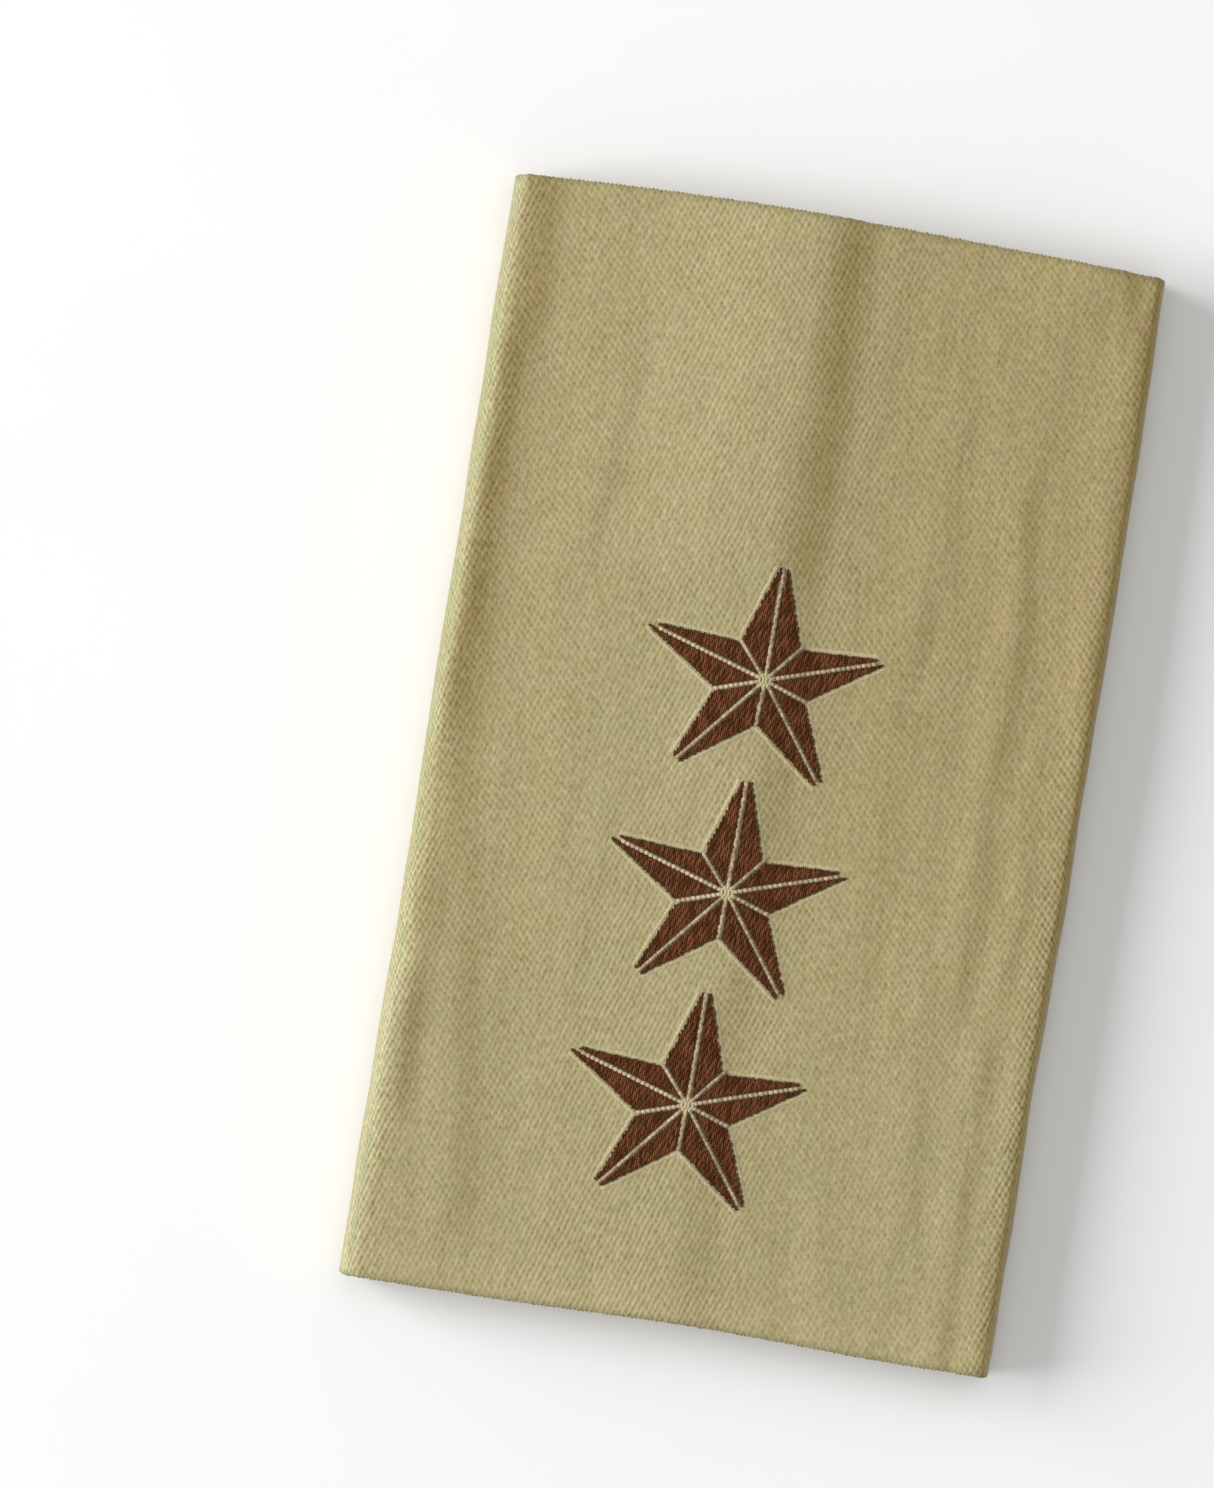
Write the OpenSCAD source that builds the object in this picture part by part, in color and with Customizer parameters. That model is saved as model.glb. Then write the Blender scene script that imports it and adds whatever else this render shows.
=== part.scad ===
// Rank slide: a flat sleeve of woven cloth, open at both ends, that slips over a
// shoulder strap. Three woven stars stand in a column on its front.
// Sizes are in millimetres. The sleeve lies on its back: +Z points up out of the
// front, +Y towards the upper end, and the origin is under the middle of the back.

/* [Sleeve] */
// Width across the upper end, from side fold to side fold
upper_w = 59.3; // [54:0.1:70]
// Width across the lower end, from side fold to side fold
lower_w = 58.7; // [54:0.1:70]
// Length between the furthest points of the two cut ends
sleeve_l = 101; // [92:0.5:120]
// Thickness of the cloth
cloth_t = 1; // [0.8:0.1:1.3]
// Height inside for the shoulder strap, before the folds and the lap
strap_gap = 4.7; // [4.6:0.1:8]
// How far the right side bulges out in its upper half
side_bulge = 0.3; // [0:0.05:1]

/* [Side folds] */
// How far the front corner of a side fold reaches in
front_reach = 2.1; // [1.8:0.1:3]
// How far the back corner of a side fold reaches in
back_reach = 2.6; // [1.8:0.1:3.5]
// How much of the rounded back is pressed flat where it lies
pressed = 0.2; // [0.1:0.05:0.4]

/* [Cut ends] */
// How far the upper end arches out between its corners
upper_arch = 0.85; // [0:0.05:2]
// How far the lower end arches in
lower_arch = 0.4; // [0:0.05:1.5]

/* [Front] */
// How far the middle of the front stands above its sides
crown = 0.25; // [0:0.05:0.6]
// How far the front drops from its left half to its right half
half_drop = 0.25; // [0:0.05:0.4]
// Share of the heights in the table of folds
fold_depth = 1; // [0:0.1:1.2]

/* [Back lap] */
// Width of the lap that closes the sleeve down the middle of the back
lap_w = 9; // [5:0.5:16]
// How far the inner layer of the lap stands up inside
lap_rise = 0.3; // [0:0.05:0.4]

/* [Stars] */
// Distance from a star's centre to its points
star_r = 11; // [8:0.5:12]
// Distance from a star's centre to the notches between its arms
notch_r = 4.4; // [3.4:0.1:4.6]
// Height of a star as a share of a regular one
star_squash = 0.945; // [0.85:0.005:1]
// Gap between one star and the next in the column
star_gap = 0.7; // [0.4:0.1:3]
// Distance from the lower end to the lowest star's centre
first_star = 20; // [14:0.5:26]
// How far the lowest star stands to the left of the middle
column_shift = 1.4; // [0:0.1:3]
// How far each star stands to the right of the one below
column_lean = 0.35; // [0:0.05:0.6]
// Width of the pale lines between the facets of a star
line_w = 0.35; // [0.3:0.05:0.6]
// Width of each blunt prong where an arm's point is forked
prong_w = 0.3; // [0.2:0.05:0.4]
// Thickness of the woven facets
facet_t = 0.25; // [0.15:0.05:0.5]
// Clearance between the facets and the cloth under them
facet_lift = 0.1; // [0.1:0.05:0.3]

/* [Hidden] */

cloth_colour = [0.69, 0.64, 0.46];
star_colour = [0.36, 0.21, 0.13];

half_h = strap_gap / 2 + cloth_t;
half_l = sleeve_l / 2;
mean_w = (upper_w + lower_w) / 2;
star_pitch = star_r * star_squash * (1 + cos(36)) + star_gap;
arms = 5;

// Steps round each corner of a side fold, across the front and down the sleeve
corner_steps = 5;
front_steps = 36;
length_steps = 20;
// How much closer the front's points stand at the sides than in the middle
side_angle = 60;
// Steps along each facet of a star
facet_steps = 5;

// The upper end's arch is highest left of its middle, and the lower end's arch
// stands at a place, and has a half width, that are shares of the whole width
arch_skew = 0.78;
lower_arch_at = 0.53;
lower_arch_half = 0.34;
// The side's bulge, as shares of the length below the upper end
bulge_at = 0.33;
bulge_half = 0.45;
// Where the left half's drop to the right half starts, and how wide it is
drop_at = 30;
drop_w = 4;
// Length over which a fold fades in and out at the ends of its run
fade_l = 9;
// Width of the ramp at each side of the lap
lap_ramp = 0.6;

// Each row is one fold of the front. Its place is measured from the left side,
// where its run starts and where it ends. The run is measured down from the
// upper end, and one that starts above or ends below the cloth doesn't fade
// there. A valley has a height below zero.
//   at start, at end, run from, run to, half width, height
FOLDS = [
    [1.6, 1.6, -12, 113, 1.6, 0.25],
    [3.6, 3.6, 2, 58, 2.2, -0.3],
    [4.4, 8.6, 46, 96, 3.0, -0.28],
    [2.8, 5.4, 58, 100, 2.2, 0.2],
    [31.4, 31.2, -12, 36, 2.6, -0.3],
    [32.2, 31.4, 56, 113, 2.6, -0.15],
    [49.9, 48.8, 4, 113, 2.4, 0.26],
    [52.0, 51.2, 6, 84, 1.8, -0.18],
    [54.4, 54.0, 62, 104, 1.9, 0.2],
    [56.2, 55.0, -12, 12, 2.2, -0.3],
    [57.4, 57.2, -12, 113, 1.7, 0.18]
];

function flatten(lists) = [for (list = lists) each list];
function sum(list) = list * [for (item = list) 1];
function ramp(t) = let (c = min(1, max(0, t))) c * c * (3 - 2 * c);
function bump(t) = abs(t) < 1 ? pow(cos(90 * t), 2) : 0;
function mix(a, b, t) = a + (b - a) * t;

// Height of one fold at a place so far from the left side and the upper end
function fold_rise(fold, across, down) =
    let (run = (down - fold[2]) / (fold[3] - fold[2]))
    let (place = mix(fold[0], fold[1], run))
    let (fade = ramp((down - fold[2]) / fade_l) * ramp((fold[3] - down) / fade_l))
    fold[5] * fade * bump((across - place) / fold[4]);

// Height of the front above its plain level
function front_rise(across, down) =
    let (folds = sum([for (fold = FOLDS) fold_rise(fold, across, down)]))
    let (drop = half_drop * (1 - 0.6 * down / sleeve_l))
    let (dome = crown * (1 - pow(2 * across / mean_w - 1, 2)))
    fold_depth * folds + dome - drop * (ramp((across - drop_at) / drop_w) - 0.5);

// Half the width, and the shift of the middle line, where a share of the length
// lies below the upper end. The shift keeps the whole outline centred
function bulge(share) = side_bulge * bump((share - bulge_at) / bulge_half);
function half_width(share) = (mix(upper_w, lower_w, share) + bulge(share)) / 2;
function middle_shift(share) = (bulge(share) - 0.7 * side_bulge) / 2;

// The cut ends, where a share of the width lies to the left
function upper_end(part) = half_l - upper_arch * (1 - sin(180 * pow(part, arch_skew)));
function lower_end(part) = lower_arch * bump((part - lower_arch_at) / lower_arch_half) - half_l;

// One quarter of a side fold, as places across and up the section
function corner(middle, reach, height, from) = [
    for (i = [0 : corner_steps - 1])
        let (turn = from - 90 * i / corner_steps)
        [middle + reach * cos(turn), half_h + height * sin(turn)]
];

// The whole section, clockwise from the left side over the front. The inner wall
// is the same outline with every curve smaller by the cloth's thickness
function section(half_w, inset) =
    let (front_half = half_w - front_reach)
    let (back_half = half_w - back_reach)
    let (front_r = front_reach - inset)
    let (back_r = back_reach - inset)
    let (above = half_h - inset)
    let (below = inset == 0 ? half_h + pressed : above)
    concat(
        corner(-front_half, front_r, above, 180),
        [
            for (i = [0 : front_steps - 1])
                let (turn = side_angle * (2 * i / front_steps - 1))
                [front_half * sin(turn) / sin(side_angle), half_h + above]
        ],
        corner(front_half, front_r, above, 90),
        corner(back_half, back_r, below, 0),
        [
            for (place = [back_half, lap_w / 2 + lap_ramp, lap_w / 2, -lap_w / 2, -lap_w / 2 - lap_ramp])
                [place, half_h - below]
        ],
        corner(-back_half, back_r, below, -90)
    );

// A section set at its place down the sleeve, with the folds and the lap in it
function placed_section(share, inset) =
    let (half_w = half_width(share))
    [
        for (point = section(half_w, inset))
            let (part = min(1, max(0, (point[0] + half_w) / (2 * half_w))))
            let (high = max(0, point[1] / half_h - 1))
            let (rise = pow(high, 2) * front_rise(part * mean_w, share * sleeve_l))
            let (on_lap = inset > 0 && point[1] < half_h && abs(point[0]) < lap_w / 2 + 0.01)
            [
                point[0] + middle_shift(share),
                mix(upper_end(part), lower_end(part), share),
                point[1] + rise + (on_lap ? lap_rise : 0)
            ]
    ];

// Two triangles for each step between two rings of points that have equal counts
function skin(first, second, count) = flatten([
    for (i = [0 : count - 1])
        let (next = (i + 1) % count)
        [
            [first + i, first + next, second + next],
            [first + i, second + next, second + i]
        ]
]);

module sleeve_cloth() {
    outer = [for (i = [0 : length_steps]) placed_section(i / length_steps, 0)];
    inner = [for (i = [0 : length_steps]) placed_section(i / length_steps, cloth_t)];
    count = len(outer[0]);
    inside = count * (length_steps + 1);
    last = count * length_steps;
    walls = flatten([
        for (i = [0 : length_steps - 1])
            concat(
                skin(count * i, count * (i + 1), count),
                skin(inside + count * (i + 1), inside + count * i, count)
            )
    ]);
    ends = concat(skin(inside, 0, count), skin(last, inside + last, count));
    polyhedron(
        points = concat(flatten(outer), flatten(inner)),
        faces = concat(walls, ends),
        convexity = 6
    );
}

module sleeve() {
    color(cloth_colour)
        intersection() {
            sleeve_cloth();
            translate([-sleeve_l, -sleeve_l, 0])
                cube([2 * sleeve_l, 2 * sleeve_l, 4 * half_h]);
        }
}

// Height of the front's surface at a place
function front_level(x, y) =
    let (near = 0.5 - y / sleeve_l)
    let (part = 0.5 + (x - middle_shift(near)) / (2 * half_width(near)))
    let (share = (upper_end(part) - y) / (upper_end(part) - lower_end(part)))
    2 * half_h + front_rise(part * mean_w, share * sleeve_l);

// Corners of one facet beside the middle line of an arm that points along +X:
// near the centre, at the notch, and the outer and inner corner of the prong
function facet_corners(side) =
    let (near = line_w / 2 / sin(18))
    let (notch = [notch_r * cos(36), notch_r * sin(36)])
    let (off_line = [line_w / 2 * sin(36), -line_w / 2 * cos(36)])
    [
        for (p = [
            [near * cos(18), near * sin(18)],
            notch + off_line,
            [star_r, line_w / 2 + prong_w],
            [star_r - prong_w / 2, line_w / 2]
        ])
            [p[0], side * p[1]]
    ];

// A place on the facet turned to its arm, squashed and set in the column
function star_place(p, turn, centre) = [
    centre[0] + p[0] * cos(turn) - p[1] * sin(turn),
    centre[1] + star_squash * (p[0] * sin(turn) + p[1] * cos(turn))
];

module facet(turn, side, centre) {
    corners = facet_corners(side);
    inner_edge = [for (i = [0 : facet_steps]) mix(corners[0], corners[3], i / facet_steps)];
    outer_edge = [for (i = [facet_steps : -1 : 0]) mix(corners[1], corners[2], i / facet_steps)];
    rim = [for (p = concat(inner_edge, outer_edge)) star_place(p, turn, centre)];
    low = [for (p = rim) [p[0], p[1], front_level(p[0], p[1]) + facet_lift]];
    high = [for (p = low) p + [0, 0, facet_t]];
    count = len(rim);
    strips = [
        for (i = [0 : facet_steps - 1])
            each [[i, i + 1, count - 2 - i], [i, count - 2 - i, count - 1 - i]]
    ];
    bottom = side > 0 ? strips : [for (f = strips) [f[2], f[1], f[0]]];
    top = [for (f = bottom) [count + f[2], count + f[1], count + f[0]]];
    wall = side > 0 ? skin(count, 0, count) : skin(0, count, count);
    polyhedron(points = concat(low, high), faces = concat(bottom, top, wall), convexity = 2);
}

// One star of ten facets, counted up the column from the lowest
module star(index) {
    centre = [
        column_lean * index - column_shift,
        first_star - half_l + star_pitch * index
    ];
    color(star_colour)
        for (arm = [0 : arms - 1], side = [-1, 1])
            facet(90 + 360 / arms * arm, side, centre);
}

module star_lower() {
    star(0);
}

module star_middle() {
    star(1);
}

module star_upper() {
    star(2);
}

sleeve();
star_lower();
star_middle();
star_upper();
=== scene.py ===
"""A cloth rank slide lying on its back: a strip of satin folded into a flat sleeve,
lapped and sewn down the back, with three stars woven into its front."""

import math
import random

import bmesh
import bpy
from mathutils import Matrix, Vector, noise


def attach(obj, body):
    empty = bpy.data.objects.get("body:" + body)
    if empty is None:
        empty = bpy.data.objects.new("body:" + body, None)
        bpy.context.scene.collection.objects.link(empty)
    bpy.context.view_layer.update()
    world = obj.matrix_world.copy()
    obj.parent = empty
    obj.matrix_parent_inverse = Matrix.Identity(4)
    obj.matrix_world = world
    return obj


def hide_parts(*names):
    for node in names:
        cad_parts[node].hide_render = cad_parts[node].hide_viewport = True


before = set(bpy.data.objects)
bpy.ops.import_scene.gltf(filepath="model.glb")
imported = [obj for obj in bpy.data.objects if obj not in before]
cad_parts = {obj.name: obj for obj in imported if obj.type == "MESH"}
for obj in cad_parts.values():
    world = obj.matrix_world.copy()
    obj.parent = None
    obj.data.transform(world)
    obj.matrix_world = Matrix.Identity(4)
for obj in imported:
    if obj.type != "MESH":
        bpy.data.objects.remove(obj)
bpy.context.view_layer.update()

MM = 0.001
SEED = 11

# The view, in the photograph's own pixels and in millimetres
PHOTO_W, PHOTO_H = 1214, 1488
PIXELS_PER_MM = 11.1
CORNERS_MIDDLE_PX = (753.75, 776.75)
TURN_IN_VIEW = math.radians(9.2)
CAMERA_HEIGHT = 900
SENSOR = 36
FLOOR_HALF_M = 3
FLOOR_GAP = 0.02

# The sleeve, in millimetres, close to its solid
UPPER_W = 59.3
LOWER_W = 59.0
MEAN_W = (UPPER_W + LOWER_W) / 2
SLEEVE_L = 101
HALF_L = SLEEVE_L / 2
HALF_H = 3.35
CLOTH_T = 0.85

# Its side folds, pressed flat on the floor below. The left one is squarer than the right
# one, and rolls out a little past the solid
LEFT_REACH = 1.3
LEFT_SQUARE = 0.56
ROLL_OUT = 0.2
RIGHT_REACH = 0.9
BACK_REACH = 2.6
PRESSED = 0.2
SIDE_BULGE = 0.3
BULGE_AT, BULGE_HALF, BULGE_CENTRED = 0.33, 0.45, 0.7
LOWER_SHIFT = 0.12
SIDE_W, SIDE_FADE = 2.5, 2
LONG_DENT, SHORT_DENT = 0.22, 0.12

# Its open ends, each arched about a place across its width
UPPER_ARCH, ARCH_SKEW = 0.85, 0.78
LOWER_ARCH, LOWER_ARCH_AT, LOWER_ARCH_HALF = 0.4, 0.53, 0.34

# The plain form of its front: a low crown, a right half that lies lower than the left one
# but less so downwards, and a lip along the lower end
CROWN = 0.25
HALF_DROP = 0.2
DROP_AT, DROP_W, DROP_EASE = 30, 3.4, 0.6
LOWER_LIP = 0.1
LIP_AT, LIP_L = 96, 5
LIP_LEFT, LIP_RIGHT, LIP_FADE = 10, 54, 8
# Soft uneven streaks that run down it and sway, the fine ones deeper to the right
STREAK_H, FINE_STREAK_H = 0.1, 0.036
STREAK_SWAY = 3.0
DEEPER_AT, DEEPER_W, DEEPER = 32, 8, 0.5

# The lap down its back and the seam that holds it
LAP_W = 9
LAP_RAMP = 1.6
LAP_CLEAR = 0.03
LAP_PRESSED = 0.77
BACK_TOP = 1
SEAM_X = 3.4
SEAM_DIP, SEAM_DIP_HALF = 0.17, 0.9
SEAM_END = 1
STITCH_L = 2.1
STITCH_GAP = 0.6
STITCH_W = 0.34
STITCH_TUCK = 0.25

# The weave: threads stand this far apart, and a float passes over all but one in eight
PITCH = 0.187
REPEAT = 8
STEP = 3
STUB_L = 0.36

# Each row is one fold of the front, a ridge or a dent. Its place is measured from the left
# side, where its run starts and where it ends; the run is measured down from the upper end
#   at start, at end, run from, run to, left width, right width, height, wander
FOLDS = [
    (1.15, 1.15, -12, 90, 1.2, 3.6, 0.3, 0.3),
    (1.2, 1.3, 62, 113, 1.2, 14.0, 0.57, 0.3),
    (1.15, 1.15, -12, 54, 1.2, 4.8, 0.44, 0.5),
    (1.1, 1.1, 10, 54, 1.2, 2.3, 0.37, 0.4),
    (1.1, 1.1, -12, 8, 1.2, 1.8, 0.2, 0.3),
    (1.2, 2.4, 45, 80, 1.4, 4.2, 0.26, 0.5),
    (2.0, 2.3, 68, 92, 2.0, 1.8, 0.18, 0.5),
    (2.4, 9.2, 48, 99, 3.4, 2.9, 0.27, 0.8),
    (13.6, 9.8, 12, 38, 5.0, 2.2, 0.12, 1.0),
    (16.4, 15.6, 52, 88, 5.0, 2.6, 0.08, 1.6),
    (27.9, 27.5, -12, 39, 15.0, 6.1, 0.99, 0.6),
    (28.8, 28.4, 34, 113, 8.0, 6.2, 0.37, 1.4),
    (21.2, 21.6, 74, 100, 9.0, 5.0, 0.2, 1.0),
    (35.4, 33.6, -6, 24, 3.0, 2.4, 0.08, 1.2),
    (41.6, 40.8, 8, 50, 4.0, 3.0, 0.12, 1.6),
    (52.8, 52.0, -14, 9, 8.0, 4.4, 0.5, 0.8),
    (50.6, 49.4, 0, 22, 4.0, 2.4, 0.07, 1.0),
    (49.8, 50.4, 14, 52, 2.8, 2.3, 0.28, 1.0),
    (49.9, 50.6, 48, 74, 3.0, 2.2, 0.24, 1.0),
    (46.4, 50.2, 58, 96, 4.2, 2.2, 0.17, 1.0),
    (53.4, 54.0, 66, 113, 3.2, 2.0, 0.2, 0.8),
    (54.9, 55.3, -12, 10, 5.0, 2.0, 0.33, 0.4),
    (55.5, 55.7, -12, 9, 3.0, 1.3, 0.14, 0.2),
    (54.6, 54.9, 36, 72, 1.6, 1.6, 0.1, 1.2),
    (57.0, 57.8, -2, 52, 2.8, 1.6, 0.26, 0.4),
    (57.3, 57.6, 58, 113, 2.4, 1.8, 0.16, 0.5),
]
FADE_L = 9
FOLD_UNEVEN = 0.6

# The stars' centres, in millimetres in the row's frame, and one star's points and
# notches from its centre, clockwise from the top
STARS = {"star_upper": (-0.4, 8.3), "star_middle": (-0.7, -11.15), "star_lower": (-1.2, -30.55)}
POINTS = [(0.14, 10.25), (9.8, 3.08), (6.2, -8.5), (-6.8, -8.2), (-10.4, 3.24)]
NOTCHES = [(2.82, 3.36), (4.05, -1.4), (-0.15, -4.2), (-4.5, -1.46), (-2.76, 3.28)]
# How far the prong below a level arm's pale line reaches round its end, and how much of
# that it gives up in width
LONG_PRONGS = {(1, 1): 0.5, (4, 3): 0.75}
PRONG_TAPER = 0.3
PRONG_W = 0.26
STAR_REPEAT = 5
STAR_STEP = 2

# The brown floats and the thin ground under them, which is darkened with painted shade
FACET_LIFT = 0.06
FLOAT_W = PITCH * 1.12
FLOAT_H = 0.15
FLOAT_MIDDLE = 0.2
FLOAT_WAY = (0.05, 1)
SHORTEST_FLOAT = 0.25
SHORTEST_SPAN = 0.12
SHADED_W = 0.3
GROUND_INSET = 0.13
GROUND_TONE, GROUND_PAINTED_SHADE = 0.1, 0.8

# The pale yarns round each star, along its arms and in its middle
RIM_W = 0.5
RIM_H = 0.09
RIM_SUNK = 0.046
RIM_STEP = 0.4
RIM_OUT = RIM_W * 0.42
FIRST_RIM_YARN = 0.1
LINE_W = 0.38
BEAD_L = 0.46
FIRST_BEAD = 0.75
# A line ends just short of its point, or just past its notch
POINT_REACH = 0.985
NOTCH_REACH = 1.02
KNOT_WAY = (0.1, 1)
# Each row is one ring of a knot: how many floats, the first one's angle, the ring's
# radius, and a float's width, length and height
KNOT_RINGS = [
    (10, 0.3, 0.5, (0.36, 0.48, 0.21)),
    (4, 0.8, 0.19, (0.34, 0.46, 0.25)),
]


def clamp(value):
    return min(1.0, max(0.0, value))


def ramp(t):
    t = clamp(t)
    return t * t * (3 - 2 * t)


def bump(t):
    return math.cos(math.pi / 2 * t) ** 2 if abs(t) < 1 else 0.0


def mix(a, b, t):
    return a + (b - a) * t


def wave(first, second, third):
    """A smooth uneven wave between about minus one and one."""
    return noise.noise(Vector((first, second, third)))


# The form of the sleeve


def front_rise(across, down):
    """Height of the front above its plain level, so far from the left side and the upper end."""
    rise = CROWN * (1 - (2 * across / MEAN_W - 1) ** 2)
    rise -= HALF_DROP * (1 - DROP_EASE * down / SLEEVE_L) * (ramp((across - DROP_AT) / DROP_W) - 0.5)
    for first, last, start, end, left_w, right_w, height, wander in FOLDS:
        run = (down - start) / (end - start)
        if 0 < run < 1:
            fade = ramp((down - start) / FADE_L) * ramp((end - down) / FADE_L)
            fade *= 1 + FOLD_UNEVEN * wave(height * 40, down * 0.13, 2.2)
            off = across - mix(first, last, run) - wander * wave(first, down * 0.12, 5.5)
            rise += height * fade * bump(off / (right_w if off > 0 else left_w))
    lip = LOWER_LIP * ramp((down - LIP_AT) / LIP_L)
    rise += lip * ramp((across - LIP_LEFT) / LIP_FADE) * ramp((LIP_RIGHT - across) / LIP_FADE)
    deeper = 1 + DEEPER * ramp((across - DEEPER_AT) / DEEPER_W)
    sway = across + STREAK_SWAY * wave(across * 0.06, down * 0.07, 1.3)
    rise += STREAK_H * wave(sway * 0.24, down * 0.05, 3.1)
    rise += FINE_STREAK_H * deeper * wave(sway * 0.7, down * 0.11, 8.7)
    return rise


def bulge(share):
    return SIDE_BULGE * bump((share - BULGE_AT) / BULGE_HALF)


def half_width(share):
    return (mix(UPPER_W, LOWER_W, share) + bulge(share)) / 2


def middle_shift(share):
    """How far the sleeve's middle lies to the right, so that only its right side bulges and
    the whole still lies about centred."""
    return (bulge(share) - BULGE_CENTRED * SIDE_BULGE) / 2 + LOWER_SHIFT * share


def upper_end(part):
    return HALF_L - UPPER_ARCH * (1 - math.sin(math.pi * part**ARCH_SKEW))


def lower_end(part):
    return LOWER_ARCH * bump((part - LOWER_ARCH_AT) / LOWER_ARCH_HALF) - HALF_L


def straight(start, end):
    return lambda t: (mix(start[0], end[0], t), mix(start[1], end[1], t))


def quarter(middle, reach, height, first, square=1.0):
    """A quarter of a side fold, turning clockwise from an angle in degrees. A power below one
    squares it up."""

    def place(t):
        turn = math.radians(first - 90 * t)
        out, up = math.cos(turn), math.sin(turn)
        out = math.copysign(abs(out) ** square, out)
        up = math.copysign(abs(up) ** square, up)
        return middle + reach * out, max(0.0, HALF_H + height * up)

    return place


def section(half_w):
    """The stretches that the strip's outer face takes round the sleeve, from the lap's outer
    cut edge to its inner one."""
    left_x, right_x, back_x = half_w - LEFT_REACH, half_w - RIGHT_REACH, half_w - BACK_REACH
    lap_z = CLOTH_T * LAP_PRESSED + LAP_CLEAR
    low_h = HALF_H + PRESSED
    rise = straight((LAP_W / 2 + LAP_RAMP, 0), (LAP_W / 2, lap_z))
    return [
        straight((LAP_W / 2, 0), (-back_x, 0)),
        quarter(-back_x, BACK_REACH + ROLL_OUT, low_h, 270),
        quarter(-left_x, LEFT_REACH + ROLL_OUT, HALF_H, 180, LEFT_SQUARE),
        straight((-left_x, 2 * HALF_H), (right_x, 2 * HALF_H)),
        quarter(right_x, RIGHT_REACH, HALF_H, 90),
        quarter(back_x, BACK_REACH, low_h, 0),
        straight((back_x, 0), (LAP_W / 2 + LAP_RAMP, 0)),
        lambda t: (rise(t)[0], lap_z * ramp(t)),
        straight((LAP_W / 2, lap_z), (-LAP_W / 2, lap_z)),
    ]


# Steps of the mesh along each stretch, and down the sleeve
STRETCH_STEPS = [46, 9, 14, 118, 10, 9, 30, 6, 14]
LENGTH_STEPS = 140


def side_dent(x, z, half_w, down):
    """How far the soft side folds stand to one side half way up, uneven along the sleeve."""
    near_side = ramp((abs(x) - half_w + SIDE_W) / SIDE_FADE)
    # Each side has its own dents, long ones and short ones
    uneven = LONG_DENT * wave(down * 0.05, z * 0.1, math.copysign(4.4, x))
    uneven += SHORT_DENT * wave(down * 0.16, z * 0.3, math.copysign(7.7, x))
    return uneven * near_side * bump((z - HALF_H) / (1.1 * HALF_H))


def cloth_place(stretches, along, share):
    """Where a point of the strip comes to lie: so many stretches along, and that share of the
    length down from the upper end. In millimetres."""
    half_w = half_width(share)
    index = min(int(along), len(stretches) - 1)
    x, z = stretches[index](along - index)
    x += side_dent(x, z, half_w, share * SLEEVE_L)
    part = clamp((x + half_w) / (2 * half_w))
    high = max(0.0, z / HALF_H - 1)
    z += high**2 * front_rise(part * MEAN_W, share * SLEEVE_L)
    if z < BACK_TOP:
        z += SEAM_DIP * bump((abs(x) - SEAM_X) / SEAM_DIP_HALF)
    y = mix(upper_end(part), lower_end(part), share)
    return Vector((x + middle_shift(share), y, z))


def front_level(x, y):
    """Height of the front's outer face at a place."""
    near = 0.5 - y / SLEEVE_L
    part = 0.5 + (x - middle_shift(near)) / (2 * half_width(near))
    share = (upper_end(part) - y) / (upper_end(part) - lower_end(part))
    return 2 * HALF_H + front_rise(part * MEAN_W, share * SLEEVE_L)


def new_piece(name, mesh_maker, material):
    """A smooth mesh piece, made in millimetres, that rides on the sleeve's body."""
    mesh = bpy.data.meshes.new(name)
    mesh_maker.to_mesh(mesh)
    mesh_maker.free()
    mesh.transform(Matrix.Scale(MM, 4))
    mesh.shade_smooth()
    piece = bpy.data.objects.new(name, mesh)
    bpy.context.scene.collection.objects.link(piece)
    mesh.materials.append(material)
    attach(piece, "root")
    return piece


def fold_stations():
    """How far along the stretches each column of the strip's mesh stands."""
    stations = [0.0]
    for index, steps in enumerate(STRETCH_STEPS):
        stations += [index + (step + 1) / steps for step in range(steps)]
    return stations


def strip_lengths(stations):
    """The cloth's own length from its first edge to each column, measured half way down."""
    stretches = section(half_width(0.5))
    places = [cloth_place(stretches, along, 0.5) for along in stations]
    lengths = [0.0]
    for first, second in zip(places, places[1:]):
        lengths.append(lengths[-1] + (second - first).length)
    return lengths


def mark_lean_for_painted_light(mesh):
    """Notes for the finish how far each part of the cloth faces left or right, but not on the back, so
    that the finish can paint light and shade by it.
    """
    lean = mesh.attributes.new("lean", "FLOAT", "POINT")
    for vert in mesh.vertices:
        fade = ramp(vert.normal.z + 0.5) if vert.normal.x > 0 else ramp(vert.normal.z / 0.3)
        lean.data[vert.index].value = vert.normal.x * fade


def give_thickness(piece, pressed):
    """The cloth's thickness, inwards from its outer face, thinner where the lap is pressed."""
    thickness = piece.modifiers.new("thickness", "SOLIDIFY")
    thickness.thickness = CLOTH_T * MM
    thickness.offset = -1
    thickness.use_even_offset = False
    whole = piece.vertex_groups.new(name="thickness")
    whole.add(range(len(piece.data.vertices)), 1.0, "REPLACE")
    whole.add(pressed, LAP_PRESSED, "REPLACE")
    thickness.vertex_group = whole.name


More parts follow.
